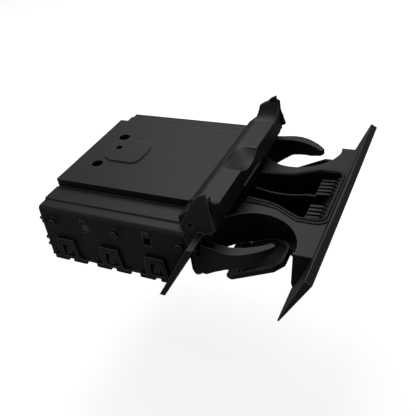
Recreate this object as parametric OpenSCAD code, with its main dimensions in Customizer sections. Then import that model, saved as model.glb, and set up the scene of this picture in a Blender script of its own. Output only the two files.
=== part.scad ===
// Pull-out dashboard cup holder, shown with its drawer out.
// X runs across, the drawer slides out along -Y, Z is up.
// The origin is the middle of the two fixing holes, on the top face of the housing.

/* [Housing] */
// Half width of the raised plateau on top
plateau_half_w = 62; // [56:0.5:66]
// Height of the plateau above the ledge at its foot
plateau_h = 8.6; // [6:0.2:11]
// Distance from the origin back to the open rear edge
rear_reach = 26; // [20:0.5:34]
// Distance from the origin forward to the foot of the bezel
foot_reach = 123.2; // [118:0.4:130]
// Half width across the side walls at the top
side_top_half_w = 96.8; // [95.6:0.2:99]
// Half width across the side walls at the bottom
side_bottom_half_w = 98.6; // [97.4:0.2:101]
// Height of the housing from its top to the bottom of its side walls
housing_h = 65.4; // [63:0.2:70]
// Wall of the housing
housing_wall = 1.8; // [1.4:0.1:2.4]
// Thickness of the bottom cover
floor_t = 2.2; // [1.6:0.1:3]

/* [Fixing holes] */
// Distance between the two fixing holes
fixing_pitch = 54; // [44:0.5:60]
// Radius of each fixing hole
fixing_r = 6.2; // [4:0.1:7.5]

/* [Bezel] */
// Lean of the bezel flange and fascia from the vertical
lean = 31; // [28:0.5:33]
// Half width of the side flanges
flange_half_w = 119; // [112:0.5:124]
// Thickness of the side flanges
flange_t = 4.8; // [3:0.2:6]
// Distance of the rail block's ends inside the housing sides
rail_inset = 10.8; // [9.8:0.2:16]
// Height of the rail block above the plateau
rail_h = 10.5; // [7:0.5:14]
// Width of the saddle in the middle of the rail
saddle_w = 41; // [30:1:50]
// Depth of the saddle
saddle_depth = 7.5; // [4:0.5:9]
// Wall of the bezel moulding
bezel_wall = 2.4; // [1.8:0.1:3]
// Height of the ear tips above the plateau
ear_h = 31.8; // [24:0.4:36]

/* [Drawer] */
// Depth of the drawer deck below the top of the housing
deck_drop = 19.8; // [19:0.2:21]
// Thickness of the deck
deck_t = 2.4; // [1.8:0.1:3]
// Travel of the drawer
travel = 96; // [60:1:96]
// Distance of the deck's edges inside the housing sides
deck_inset = 12.3; // [9.8:0.1:16]
// Radius of each cup cut-out
cup_r = 42.5; // [36:0.5:43]
// Distance of each cup centre from the middle
cup_x = 82.5; // [80:0.5:86]
// Distance of the cup centres ahead of the bezel's foot
cup_ahead = 59.6; // [55:0.2:63]

/* [Fascia] */
// Half width of the fascia
fascia_half_w = 121.8; // [114:0.4:126]
// Height of the fascia along its own face
fascia_h = 55.8; // [48:0.4:60]
// Thickness of the fascia along its top edge
fascia_top_t = 6.8; // [5:0.2:8]
// Thickness of the fascia along its bottom edge
fascia_bottom_t = 1.4; // [1:0.1:3]

/* [Swing arms] */
// Distance of the arm pivots inside the housing sides
arm_pivot_inset = 7.8; // [7.8:0.1:10]
// Distance of the arm pivots ahead of the bezel's foot
arm_pivot_ahead = 12.8; // [10:0.2:16]
// Radius of the arm hubs
arm_hub_r = 5.6; // [4.8:0.1:5.6]
// Radius of the steel arm pins
arm_pin_r = 2; // [1.5:0.1:2.5]

/* [Cup floors] */
// Distance of each cup floor's outer edge inside the housing sides
cup_floor_inset = 9.3; // [7.8:0.1:16]
// Height of the rim round each cup floor
cup_floor_rim = 5.6; // [3.5:0.1:6]
// Upward slope of each cup floor at rest
cup_floor_slope = 26; // [16:1:28]
// Radius of the hinge pins
floor_pin_r = 1.5; // [1:0.1:1.8]

/* [Coin tray] */
// Half width of the tray rim at its wide front end
tray_half_w = 42.8; // [38:0.2:46]
// Half width of the tray rim in the neck
tray_neck_half_w = 28; // [24:0.2:31]
// Depth of the tray below the deck
tray_depth = 25; // [18:0.5:25.5]
// Number of ribs on each half of the sloping front
tray_ribs = 5; // [3:1:6]

/* [Damper and spring] */
// Number of teeth on the damper pinion
pinion_teeth = 12; // [10:1:14]
// Tooth size of the pinion and rack
tooth_module = 1; // [0.8:0.1:1.1]
// Outer radius of the coiled drive spring
spring_roll_r = 7.5; // [5:0.1:7.5]

/* [Fits] */
// Gap between pieces that slide past each other
slide_gap = 0.4; // [0.3:0.05:0.6]
// Gap between pieces clipped or laid together
seat_gap = 0.2; // [0.1:0.05:0.3]
// Radial gap of a turning pin in its hole
pin_gap = 0.06; // [0.02:0.01:0.1]

/* [Hidden] */
$fn = 48;
eps = 0.01;

// Housing levels and widths
ledge_w = 2.6;
shoulder_z = -(plateau_h - 1.2);
outer_shoulder_z = -(plateau_h + 0.7);
shoulder_step_x = side_top_half_w - 12.8;
fold_r = 3.6;
floor_top_z = -housing_h;
floor_bottom_z = floor_top_z - floor_t;
function wall_x(z) = side_top_half_w
    + (side_bottom_half_w - side_top_half_w) * (outer_shoulder_z - z) / (outer_shoulder_z + housing_h);

// Bezel and fascia planes: the distance of a plane along its forward normal
flange_top_z = -5.5;
flange_bottom_z = floor_top_z - 1.2;
flange_mid = foot_reach + 7;
flange_front = flange_mid + flange_t / 2;
flange_back = flange_mid - flange_t / 2;
function lean_y(distance, z) = -(distance + z * sin(lean)) / cos(lean);
mouth_top_z = -8.5;
mouth_bottom_z = floor_top_z + 2.2;

// The seam where the side wall of the cover meets the ear
seam_low_z = -25.7;
function ear_seam_y(z) = -(foot_reach + 5.6) + 0.287 * (z + 0.6) + seat_gap;

// Rail block over the mouth
rail_half_w = side_top_half_w - rail_inset;
rail_front_y = -(foot_reach + 33.6);
rail_lip_y = rail_front_y - 1;
rail_back_y = -(foot_reach + 12.6);
saddle_r = (pow(saddle_w / 2, 2) + pow(saddle_depth, 2)) / (2 * saddle_depth);
scoop_w = 16;

// Ears beside the rail
ear_t = 2.6;
ear_holes = [[-foot_reach - 15.4, -0.7, 2.6], [-foot_reach - 16.4, -11.4, 2]];
screw_r = 1.5;
bezel_tab_xs = [46, side_bottom_half_w - 18.6];
bezel_tab_y = -(foot_reach - 19.2);

// Drawer
deck_z = -deck_drop;
deck_under_z = deck_z - deck_t;
arm_pivot_x = side_top_half_w - arm_pivot_inset;
deck_half_w = side_top_half_w - deck_inset;
drawer_rear_y = -(foot_reach - 39.2);
drawer_wall = 2.2;
drawer_side_x = arm_pivot_x - 12;
neck_half_w = cup_x - cup_r;
drawer_bottom_z = floor_top_z + 9.4;
cup_y = -(foot_reach + cup_ahead);
well_wall = 2;
well_bottom_z = floor_top_z + 11.4;
skirt_bottom_z = floor_top_z + 8.8;
skirt_rear_y = cup_y - 38.2;

// Fascia, parallel to the bezel flange when shut
fascia_front = flange_front + seat_gap + fascia_top_t + travel * cos(lean);
fascia_top_z = -13;
fascia_bottom_z = fascia_top_z - fascia_h * cos(lean);
fascia_back_top_z = fascia_top_z + 1.6;
fascia_crest_z = mouth_top_z - 0.6;
pocket_top_z = -18;
pocket_low_z = skirt_bottom_z - 1;
pocket_skin = 3.6;
function fascia_back_y(z) =
    lean_y(fascia_front - pocket_skin + (pocket_top_z - z) / (pocket_top_z - fascia_bottom_z) * (pocket_skin - 1), z);
front_plate_t = 2.2;

// Arms
arm_top_z = deck_z - 0.2;
arm_pivot_y = -(foot_reach + arm_pivot_ahead);
hub_top_z = deck_z - 14.6;
hub_bottom_z = floor_top_z + 12;
lug_t = 2.6;
lug_gap = 0.3;
pin_head_t = 1.6;

// Cup floors
cup_floor_half_w = side_top_half_w - cup_floor_inset;
floor_hinge_y = cup_y + 16.2;
floor_hinge_z = floor_top_z + 8.2;
floor_knuckle_r = 4.2;
cup_floor_len = 53;
cup_floor_gap = 1;
cup_floor_t = 2;
floor_lug_w = 3;
inner_lug_x = neck_half_w + 3.4;
outer_lug_x = neck_half_w + 26;
beam_front_y = floor_hinge_y + 6.4;
beam_rear_y = beam_front_y + 4;
beam_half_w = outer_lug_x + floor_lug_w;

// Coin tray
tray_rear_y = cup_y + 32.8;
tray_front_y = cup_y - 58.8;
tray_wall = 1.8;
tray_rim_h = 1;
tray_flange = 5.6;
tray_slope_y = cup_y - 31.2;
tray_floor_z = deck_z - tray_depth;

// Sliding rails under the cover
rail_x = drawer_side_x - 5;
rail_stem_w = 3;
rail_head_w = 9;
rail_head_t = 2.6;
rail_head_top_z = -14;
rail_inside_plateau = rail_x + rail_stem_w / 2 < plateau_half_w - housing_wall;
rail_top_z = rail_inside_plateau ? -housing_wall : -(plateau_h + housing_wall);
rail_front_end_y = -(foot_reach - 4);
rail_rear_end_y = rear_reach - 4;
shoe_len = 14;
shoe_top_z = rail_head_top_z + 2.2;
shoe_half_w = rail_head_w / 2 + slide_gap + 2;

// Damper
pitch_r = tooth_module * pinion_teeth / 2;
rack_pitch_x = neck_half_w - drawer_wall - 3.4;
pinion_x = rack_pitch_x - pitch_r - 0.1;
pinion_y = -(foot_reach - 27.2);
pinion_bottom_z = floor_top_z + 8.4;
pinion_t = 5;
damper_screw_x = 8.4;
damper_screw_r = 1.3;
damper_head_r = 2.3;
rack_tooth_count = 33;
rack_rear_y = pinion_y + tooth_module * PI * 2.25;

// Latch
striker_y = -(foot_reach + 0.8);
striker_r = 2.4;
striker_top_z = floor_top_z + 17.4;
striker_bottom_z = mouth_bottom_z + 0.5;
latch_seat_y = striker_y + travel;
latch_half_w = 11;
latch_len = 34;
latch_top_z = floor_top_z + 8;
latch_front_y = latch_seat_y + 6;

// Drive spring
spring_x = -24;
spring_w = 10;
spring_y = drawer_rear_y - 10;
band_t = 0.3;
band_z = drawer_bottom_z - 1.6;
spring_z = band_z + band_t / 2 + spring_roll_r;
spring_axle_r = 2.5;
anchor_y = bezel_tab_y;

dark = [0.16, 0.16, 0.17];
darker = [0.1, 0.1, 0.11];
steel = [0.72, 0.72, 0.74];
pale_plastic = [0.85, 0.85, 0.8];

// Extrudes an outline of (y, z) points along X
module along_x(from, to) {
    translate([from, 0, 0]) rotate([90, 0, 90]) linear_extrude(height = to - from) children();
}

// Extrudes an outline of (x, z) points along Y
module along_y(from, to) {
    translate([0, to, 0]) rotate([90, 0, 0]) linear_extrude(height = to - from) children();
}

module both_sides() {
    children();
    mirror([1, 0, 0]) children();
}

module block(low, high) {
    translate(low) cube(high - low);
}

// A round bar along X from one x to another
module bar_x(from, to, y, z, r) {
    translate([from, y, z]) rotate([0, 90, 0]) cylinder(r = r, h = to - from);
}

module post(x, y, low, high, r) {
    translate([x, y, low]) cylinder(r = r, h = high - low);
}

function arc(cx, cy, r, from, to, steps) =
    [for (i = [0:steps]) let (a = from + (to - from) * i / steps) [cx + r * cos(a), cy + r * sin(a)]];
function flip(points) = [for (i = [len(points) - 1:-1:0]) points[i]];
function across(points) = [for (p = points) [-p[0], p[1]]];

// Housing cover: one inverted trough with a raised plateau, open behind and in front
function cover_half(inset) = concat(
    [[plateau_half_w - inset, -inset],
     [plateau_half_w - inset, -plateau_h - inset],
     [plateau_half_w + ledge_w, -plateau_h - inset]],
    inset > 0 ? [] : [[plateau_half_w + ledge_w, shoulder_z]],
    [[shoulder_step_x - inset, (inset > 0 ? -plateau_h : shoulder_z) - inset],
     [shoulder_step_x + 1.5 - inset, outer_shoulder_z - inset]],
    arc(side_top_half_w - fold_r, outer_shoulder_z - fold_r, fold_r - inset, 90, 0, 4),
    [[side_bottom_half_w - inset, -housing_h]]
);

module cover_shell() {
    along_y(rail_front_y, rear_reach)
        polygon(concat(flip(cover_half(0)), across(cover_half(0)),
                       across(flip(cover_half(housing_wall))), cover_half(housing_wall)));
}

// All that lies ahead of the bezel's foot and of the flange's back face
module cover_front_cut() {
    along_x(-200, 200) polygon([
        [-foot_reach, 1], [-foot_reach, -plateau_h - 0.8], [ear_seam_y(-plateau_h - 0.8), -plateau_h - 0.8],
        [ear_seam_y(seam_low_z), seam_low_z], [lean_y(flange_back, seam_low_z) + seat_gap, seam_low_z],
        [lean_y(flange_back, -80) + seat_gap, -80], [-220, -80], [-220, 1]
    ]);
}

module shield_pad() {
    pad_w = 19.6;
    corner = 7;
    linear_extrude(height = 1.8) polygon(concat(
        [[11, 2.2], [-11, 2.2], [-16, -3.4], [-pad_w, -10.4]],
        arc(-pad_w + corner, -41.6 + corner, corner, 180, 262, 4),
        [[0, -43]],
        arc(pad_w - corner, -41.6 + corner, corner, 278, 360, 4),
        [[pad_w, -10.4], [16, -3.4]]
    ));
}

side_pin_z = -23.3;
side_pins = [[rear_reach - 5.1, 2], [rear_reach - 15, 3.7], [64 - foot_reach, 3.7], [-foot_reach - 3.9, 3.7]];
side_windows = [rear_reach - 50, 30.7 - foot_reach];
loop_rear_y = rear_reach - 24;
loop_front_y = 25.4 - foot_reach;
loop_ys = [loop_rear_y, (loop_rear_y + loop_front_y) / 2 - 0.7, loop_front_y];
loop_foot = 19;

module cover_side_details() {
    for (p = side_pins) bar_x(wall_x(side_pin_z) - 1, wall_x(side_pin_z) + 4, p[0], side_pin_z, p[1]);
    for (y = side_windows)
        block([wall_x(-18) - 1, y - 3, -21.2], [wall_x(-18) + 1.6, y + 3, -15.8]);
    catch_x = side_bottom_half_w - 0.2;
    for (y = loop_ys)
        along_y(y - 3.2, y + 3.2) polygon([
            [catch_x - 1, floor_top_z + 11.4], [catch_x, floor_top_z + 11.4], [catch_x + 2.6, floor_top_z + 6],
            [catch_x + 2.6, floor_top_z + 4.6], [catch_x - 1, floor_top_z + 4.6]
        ]);
    for (z = [-23, floor_top_z + 18.9, floor_top_z + 10.8])
        block([wall_x(z) - 1.6, rear_reach - 1, z - 1.4], [wall_x(z) + 0.6, rear_reach + 1.8, z + 1.4]);
}

module housing_cover() {
    color(dark) difference() {
        union() {
            difference() {
                cover_shell();
                cover_front_cut();
            }
            shield_pad();
            both_sides() {
                cover_side_details();
                post(fixing_pitch / 2, 0, -6, -housing_wall + 0.2, fixing_r + 2);
            }
        }
        both_sides() {
            post(fixing_pitch / 2, 0, -10, 5, fixing_r);
            for (y = side_windows) block([wall_x(-26) - 5, y - 4.2, -31], [wall_x(-26) + 5, y + 4.2, -21.6]);
        }
        block([0.2, -11.4, -5], [7.2, -4.4, 5]);
    }
}

// Bottom cover, held by three snap loops on each side
loop_top_z = floor_top_z + 23.8;
loop_t = 2.8;
flange_drop_z = floor_bottom_z - 1.8;

module snap_loop(y) {
    face = side_bottom_half_w + seat_gap;
    foot_front_y = max(y - loop_foot, lean_y(flange_back, floor_top_z) + 2);
    along_x(face, face + loop_t) difference() {
        polygon([
            [y + loop_foot, flange_drop_z], [y + loop_foot, floor_bottom_z + 3.4],
            [y + 11.2, floor_bottom_z + 3.4], [y + 9.8, loop_top_z], [y - 9.8, loop_top_z],
            [y - 12.2, floor_bottom_z + 3.4],
            [foot_front_y, floor_bottom_z + 3.4], [foot_front_y, flange_drop_z]
        ]);
        polygon([
            [y + 6, floor_bottom_z + 4.6], [y + 5.2, loop_top_z - 6.6],
            [y - 5.8, loop_top_z - 6.6], [y - 8.4, floor_bottom_z + 4.6]
        ]);
        polygon([
            [y + 3, flange_drop_z - 1], [y + 3, flange_drop_z + 3.4],
            [y - 3.4, flange_drop_z + 3.4], [y - 3.4, flange_drop_z - 1]
        ]);
    }
}

module housing_floor() {
    floor_front_y = lean_y(flange_back, floor_bottom_z) + 0.4;
    floor_x = side_bottom_half_w + seat_gap + 0.5;
    color(dark) {
        difference() {
            union() {
                block([-floor_x, floor_front_y, floor_bottom_z], [floor_x, rear_reach, floor_top_z]);
                both_sides() for (y = loop_ys) snap_loop(y);
                block([spring_x - 7, anchor_y - 3, floor_top_z - 0.5], [spring_x + 7, anchor_y + 3, band_z - 3]);
            }
            for (s = [-1, 1])
                post(pinion_x + s * damper_screw_x, pinion_y, floor_bottom_z - 1, floor_top_z + 1, damper_screw_r);
            both_sides() for (x = bezel_tab_xs)
                post(x, bezel_tab_y, floor_bottom_z - 1, floor_top_z + 1, screw_r);
        }
    }
}

// Mounting bezel: rail block, ears, cheeks, side flanges and lower bar in one moulding
module rail_envelope() {
    along_x(-rail_half_w, rail_half_w) polygon([
        [-foot_reach, mouth_top_z], [rail_lip_y, mouth_top_z], [rail_front_y, rail_h],
        [rail_back_y, rail_h], [-foot_reach, 0]
    ]);
}

module rail_hollow() {
    along_x(-rail_half_w + bezel_wall, rail_half_w - bezel_wall) polygon([
        [-foot_reach - bezel_wall, mouth_top_z - 1], [rail_lip_y + bezel_wall, mouth_top_z - 1],
        [rail_front_y + bezel_wall, rail_h - bezel_wall], [rail_back_y - 1, rail_h - bezel_wall],
        [-foot_reach - bezel_wall, -1]
    ]);
}

module saddle_bar(r) {
    translate([0, rail_front_y - 10, rail_h - saddle_depth + saddle_r])
        rotate([-90, 0, 0]) cylinder(r = r, h = 60, $fn = 96);
}

module rail_block() {
    difference() {
        union() {
            difference() {
                rail_envelope();
                rail_hollow();
            }
            intersection() {
                rail_envelope();
                saddle_bar(saddle_r + bezel_wall);
            }
            along_x(-20, 20) polygon([
                [rail_lip_y - 1.2, mouth_top_z + 2.6], [rail_lip_y - 1.2, mouth_top_z + 0.4],
                [rail_lip_y + 1.4, mouth_top_z - 0.1], [rail_lip_y + 2, mouth_top_z + 2.6]
            ]);
        }
        saddle_bar(saddle_r);
    }
}

// The block's end sweeps up to the ear in a hollow curve
module end_sweep() {
    sweep_r = 20;
    start_x = rail_half_w - scoop_w;
    along_y(rail_front_y + 5, rail_back_y - 2) polygon(concat(
        [[start_x + 0.5, rail_h - 1]],
        arc(start_x, rail_h + sweep_r, sweep_r, 270, 270 + asin(scoop_w / sweep_r), 8),
        [[rail_half_w, rail_h - 1]]
    ));
}

// Ear plate, leaning inwards, drawn upright from its foot at the arm's level
ear_lean = 7.1;
ear_foot_z = -25.7;
ear_step_z = -18.3;
ear_foot_t = 2;
ear_face = flange_front - 0.8;

module ear_plate() {
    translate([side_top_half_w + 0.8, 0, ear_foot_z]) rotate([0, -ear_lean, 0]) translate([0, 0, -ear_foot_z])
        along_x(-ear_t, 0) polygon([
            [ear_seam_y(-2) - seat_gap, -2],
            [-foot_reach - 20.3, ear_h - 7.8], [-foot_reach - 25.6, ear_h - 2.8],
            [-foot_reach - 31.3, ear_h], [-foot_reach - 31, ear_h - 4], [-foot_reach - 38.3, -2],
            [lean_y(ear_face, mouth_top_z + 0.5), mouth_top_z + 0.5], [lean_y(ear_face, -14.5), -14.5],
            [-foot_reach - 16, ear_step_z],
            [ear_seam_y(ear_foot_z) - seat_gap - 2.4, ear_foot_z],
            [ear_seam_y(ear_foot_z) - seat_gap, ear_foot_z]
        ]);
}

module ear() {
    ear_plate();
    block([rail_half_w - 1, rail_front_y - 0.5, mouth_top_z + 0.6], [side_top_half_w - 3, rail_back_y + 6, -3.6]);
    along_y(rail_front_y - 0.5, rail_front_y + 1.7) polygon([
        [rail_half_w + 1.6, -4], [rail_half_w + 1.6, 8], [side_top_half_w - 7.4, ear_h - 6],
        [side_top_half_w - 5.4, ear_h - 6], [side_top_half_w - 2.4, -4]
    ]);
}

module side_flange() {
    top_web_z = -18.2;
    along_x(side_top_half_w - 3, side_top_half_w + 2) polygon([
        [lean_y(flange_back, flange_top_z), flange_top_z], [lean_y(flange_front, flange_top_z), flange_top_z],
        [lean_y(flange_front, top_web_z), top_web_z], [lean_y(flange_back, top_web_z), top_web_z]
    ]);
    along_x(side_top_half_w + 0.8, flange_half_w) polygon([
        [lean_y(flange_back, flange_top_z), flange_top_z], [lean_y(flange_front, flange_top_z), flange_top_z],
        [lean_y(flange_front, flange_bottom_z), flange_bottom_z],
        [lean_y(flange_back, flange_bottom_z), flange_bottom_z]
    ]);
}

module lower_bar() {
    both_sides() for (x = bezel_tab_xs)
        block([x - 5, lean_y(flange_mid, floor_top_z + 1), floor_top_z], [x + 5, bezel_tab_y + 5, mouth_bottom_z]);
    along_x(-side_top_half_w - 4.8, side_top_half_w + 4.8) polygon([
        [lean_y(flange_back, mouth_bottom_z), mouth_bottom_z],
        [lean_y(flange_front, mouth_bottom_z), mouth_bottom_z],
        [lean_y(flange_front, flange_bottom_z), flange_bottom_z],
        [lean_y(flange_back, flange_bottom_z), flange_bottom_z]
    ]);
}

module mounting_bezel() {
    color(dark) difference() {
        union() {
            rail_block();
            both_sides() {
                end_sweep();
                ear();
                side_flange();
            }
            lower_bar();
        }
        both_sides() {
            for (hole = ear_holes) bar_x(side_top_half_w - 9.8, side_top_half_w + 20, hole[0], hole[1], hole[2]);
            for (x = bezel_tab_xs) post(x, bezel_tab_y, floor_bottom_z, mouth_bottom_z + 3, screw_r);
            block([side_top_half_w - 8, ear_seam_y(ear_foot_z) - 12, ear_foot_z - 1],
                  [side_top_half_w + 0.8 - ear_foot_t, ear_seam_y(ear_foot_z) + 2, ear_step_z]);
        }
    }
}

module bezel_screws() {
    color(steel) both_sides() for (x = bezel_tab_xs) {
        post(x, bezel_tab_y, floor_bottom_z, mouth_bottom_z, screw_r);
        post(x, bezel_tab_y, floor_bottom_z - 1.4, floor_bottom_z, 2.8);
    }
}

// Two T rails hung under the shoulders of the cover
module guide_rails() {
    color(pale_plastic) both_sides() along_y(rail_front_end_y, rail_rear_end_y) polygon([
        [rail_x - rail_stem_w / 2, rail_top_z], [rail_x - rail_stem_w / 2, rail_head_top_z],
        [rail_x - rail_head_w / 2, rail_head_top_z], [rail_x - rail_head_w / 2, rail_head_top_z - rail_head_t],
        [rail_x + rail_head_w / 2, rail_head_top_z - rail_head_t], [rail_x + rail_head_w / 2, rail_head_top_z],
        [rail_x + rail_stem_w / 2, rail_head_top_z], [rail_x + rail_stem_w / 2, rail_top_z]
    ]);
}

// Four shoes on the drawer that grip the heads of the rails
module glide_shoe(y) {
    slot_x = rail_head_w / 2 + slide_gap;
    neck_x = rail_stem_w / 2 + slide_gap;
    slot_top_z = rail_head_top_z + slide_gap;
    slot_bottom_z = rail_head_top_z - rail_head_t - slide_gap;
    along_y(y, y + shoe_len) translate([rail_x, 0]) polygon([
        [-shoe_half_w, deck_z], [-shoe_half_w, shoe_top_z], [-neck_x, shoe_top_z], [-neck_x, slot_top_z],
        [-slot_x, slot_top_z], [-slot_x, slot_bottom_z], [slot_x, slot_bottom_z], [slot_x, slot_top_z],
        [neck_x, slot_top_z], [neck_x, shoe_top_z], [shoe_half_w, shoe_top_z], [shoe_half_w, deck_z]
    ]);
}

module glide_shoes() {
    color(pale_plastic) both_sides() for (y = [drawer_rear_y - shoe_len, rail_front_end_y + 0.6]) glide_shoe(y);
}

// Drawer: deck, cup wells, skirts, side walls and ribs in one moulding
module deck_outline() {
    deck_front_y = fascia_back_y(deck_under_z) + seat_gap;
    difference() {
        polygon([
            [-deck_half_w, deck_front_y], [deck_half_w, deck_front_y],
            [deck_half_w, cup_y], [drawer_side_x, cup_y], [drawer_side_x, drawer_rear_y],
            [-drawer_side_x, drawer_rear_y], [-drawer_side_x, cup_y], [-deck_half_w, cup_y]
        ]);
        for (s = [-1, 1]) translate([s * cup_x, cup_y]) circle(r = cup_r, $fn = 96);
    }
}

module cup_well() {
    intersection() {
        difference() {
            translate([cup_x, cup_y, well_bottom_z])
                cylinder(r = cup_r + well_wall, h = deck_z - well_bottom_z, $fn = 96);
            translate([cup_x, cup_y, well_bottom_z - 1])
                cylinder(r = cup_r, h = deck_z - well_bottom_z + 2, $fn = 96);
        }
        union() {
            along_x(0, deck_half_w) polygon([
                [cup_y, deck_z], [cup_y, skirt_bottom_z],
                [fascia_back_y(skirt_bottom_z) + seat_gap, skirt_bottom_z], [fascia_back_y(deck_z) + seat_gap, deck_z]
            ]);
            block([0, cup_y, skirt_bottom_z], [drawer_side_x, cup_y + 60, deck_z]);
        }
    }
}

module front_skirt() {
    x = deck_half_w;
    along_x(x - drawer_wall, x) polygon([
        [skirt_rear_y - 3, deck_z], [skirt_rear_y, skirt_bottom_z + 3], [skirt_rear_y - 1, skirt_bottom_z],
        [fascia_back_y(skirt_bottom_z) + seat_gap, skirt_bottom_z], [fascia_back_y(deck_z) + seat_gap, deck_z]
    ]);
}

module front_plate() {
    along_x(-deck_half_w, deck_half_w) polygon([
        [fascia_back_y(deck_z) + seat_gap, deck_z], [fascia_back_y(skirt_bottom_z) + seat_gap, skirt_bottom_z],
        [fascia_back_y(skirt_bottom_z) + seat_gap + front_plate_t, skirt_bottom_z],
        [fascia_back_y(deck_z) + seat_gap + front_plate_t, deck_z]
    ]);
}

module arm_lugs() {
    for (z = [hub_top_z + lug_gap, hub_bottom_z - lug_gap - lug_t]) {
        translate([0, 0, z]) linear_extrude(height = lug_t) {
            polygon([
                [drawer_side_x - 1, arm_pivot_y + arm_hub_r + 2], [arm_pivot_x, arm_pivot_y + arm_hub_r - 0.6],
                [arm_pivot_x, arm_pivot_y - arm_hub_r + 1.6], [drawer_side_x - 1, arm_pivot_y - 1]
            ]);
            translate([arm_pivot_x, arm_pivot_y]) circle(r = arm_hub_r - 0.6);
        }
    }
}

module floor_hinge_lugs() {
    for (x = [inner_lug_x, outer_lug_x])
        along_x(x, x + floor_lug_w) polygon(concat(
            [[beam_front_y + 0.5, floor_hinge_z + 3.4]],
            arc(floor_hinge_y, floor_hinge_z, 3.4, 90, 270, 8),
            [[beam_front_y + 0.5, floor_hinge_z - 3.4]]
        ));
}

module drawer_body() {
    wall_front_y = cup_y + sqrt(pow(cup_r, 2) - pow(cup_x - drawer_side_x, 2)) + 0.6;
    color(dark) difference() {
        union() {
            translate([0, 0, deck_under_z]) linear_extrude(height = deck_t) deck_outline();
            block([-drawer_side_x, drawer_rear_y - drawer_wall, drawer_bottom_z],
                  [drawer_side_x, drawer_rear_y, deck_z]);
            front_plate();
            both_sides() {
                cup_well();
                front_skirt();
                block([drawer_side_x - drawer_wall, wall_front_y, drawer_bottom_z],
                      [drawer_side_x, drawer_rear_y, deck_z]);
                difference() {
                    block([neck_half_w - drawer_wall, tray_slope_y + 9, drawer_bottom_z],
                          [neck_half_w, drawer_rear_y, deck_z]);
                    translate([cup_x, cup_y, -90]) cylinder(r = cup_r + 0.1, h = 100, $fn = 96);
                }
                block([neck_half_w - drawer_wall, beam_front_y, floor_hinge_z - 3.4],
                      [beam_half_w, beam_rear_y, floor_hinge_z + 3.4]);
                arm_lugs();
                floor_hinge_lugs();
                block(
                    [drawer_side_x - 30, drawer_rear_y - 28, deck_z - 20],
                    [drawer_side_x - 1, drawer_rear_y - 26, deck_z - 1]
                );
            }
            block([-neck_half_w, striker_y - 4, striker_top_z - 2], [neck_half_w, striker_y + 4, striker_top_z + 2]);
        }
        translate([0, 0, deck_under_z - 1]) linear_extrude(height = 10) tray_cut_plan();
        both_sides() {
            post(arm_pivot_x, arm_pivot_y, -70, -20, arm_pin_r + eps);
            bar_x(neck_half_w - 10, arm_pivot_x + 1, floor_hinge_y, floor_hinge_z, floor_pin_r + eps);
        }
        post(0, striker_y, -70, -40, striker_r - 0.6);
        bar_x(spring_x - 12, spring_x + 12, spring_y, spring_z, spring_axle_r + 0.8);
    }
    color(dark) for (s = [-1, 1])
        difference() {
            block([spring_x + s * (spring_w / 2 + 1.9) - 1.2, spring_y - 5, band_z + 2],
                  [spring_x + s * (spring_w / 2 + 1.9) + 1.2, drawer_rear_y - 1, deck_z - 2]);
            bar_x(spring_x - 12, spring_x + 12, spring_y, spring_z, spring_axle_r + eps);
        }
}

fascia_screw_z = skirt_bottom_z + 10.6;
fascia_screw_xs = [25, deck_half_w - 24.5];

// Fascia panel: thick along the top, thin along the bottom, with a slightly crowned top edge
fascia_crown = 1.2;
pocket_half_w = deck_half_w + 0.8;

module fascia_face() {
    crown_r = pow(fascia_half_w, 2) / (2 * fascia_crown);
    sweep = asin(fascia_half_w / crown_r);
    polygon(concat(
        arc(0, fascia_crown - crown_r, crown_r, 90 - sweep, 90 + sweep, 16),
        [[-fascia_half_w, -fascia_h], [fascia_half_w, -fascia_h]]
    ));
}

module fascia_panel() {
    color(dark) difference() {
        intersection() {
            translate([0, lean_y(fascia_front, fascia_top_z), fascia_top_z]) rotate([90 + lean, 0, 0])
                translate([0, 0, -12]) linear_extrude(height = 12) fascia_face();
            along_x(-fascia_half_w - 1, fascia_half_w + 1) polygon([
                [lean_y(fascia_front + 1, fascia_crest_z), fascia_crest_z],
                [lean_y(fascia_front - fascia_top_t, fascia_crest_z), fascia_crest_z],
                [lean_y(fascia_front - fascia_top_t, fascia_back_top_z), fascia_back_top_z],
                [lean_y(fascia_front - fascia_bottom_t, fascia_bottom_z), fascia_bottom_z],
                [lean_y(fascia_front - fascia_bottom_t, fascia_bottom_z - 9), fascia_bottom_z - 9],
                [lean_y(fascia_front + 1, fascia_bottom_z - 9), fascia_bottom_z - 9]
            ]);
        }
        along_x(-pocket_half_w, pocket_half_w) polygon([
            [fascia_back_y(pocket_top_z), pocket_top_z], [fascia_back_y(pocket_low_z), pocket_low_z],
            [fascia_back_y(pocket_low_z) + 20, pocket_low_z], [fascia_back_y(pocket_top_z) + 20, pocket_top_z]
        ]);
    }
}

module fascia_screws() {
    color(steel) both_sides() for (x = fascia_screw_xs)
        translate([x, fascia_back_y(fascia_screw_z) + seat_gap + front_plate_t + 0.1, fascia_screw_z])
            rotate([lean - 92.6, 0, 0]) cylinder(r = 3, h = 2);
}

// Coin tray insert
function tray_half(inset) = concat(
    [[tray_neck_half_w - 3 - inset, tray_rear_y - inset], [tray_neck_half_w - inset, cup_y + 4.8],
     [tray_neck_half_w + 2 - inset, cup_y - 8.2], [tray_half_w - 6 - inset, cup_y - 20.6],
     [tray_half_w - inset, tray_slope_y]],
    arc(tray_half_w - 11, tray_front_y + 11, 11 - inset, 0, -90, 5)
);

module tray_plan(inset) {
    polygon(concat(tray_half(inset), flip(across(tray_half(inset)))));
}

module tray_cut_plan() {
    tray_plan(tray_flange - tray_wall - seat_gap);
}

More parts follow.
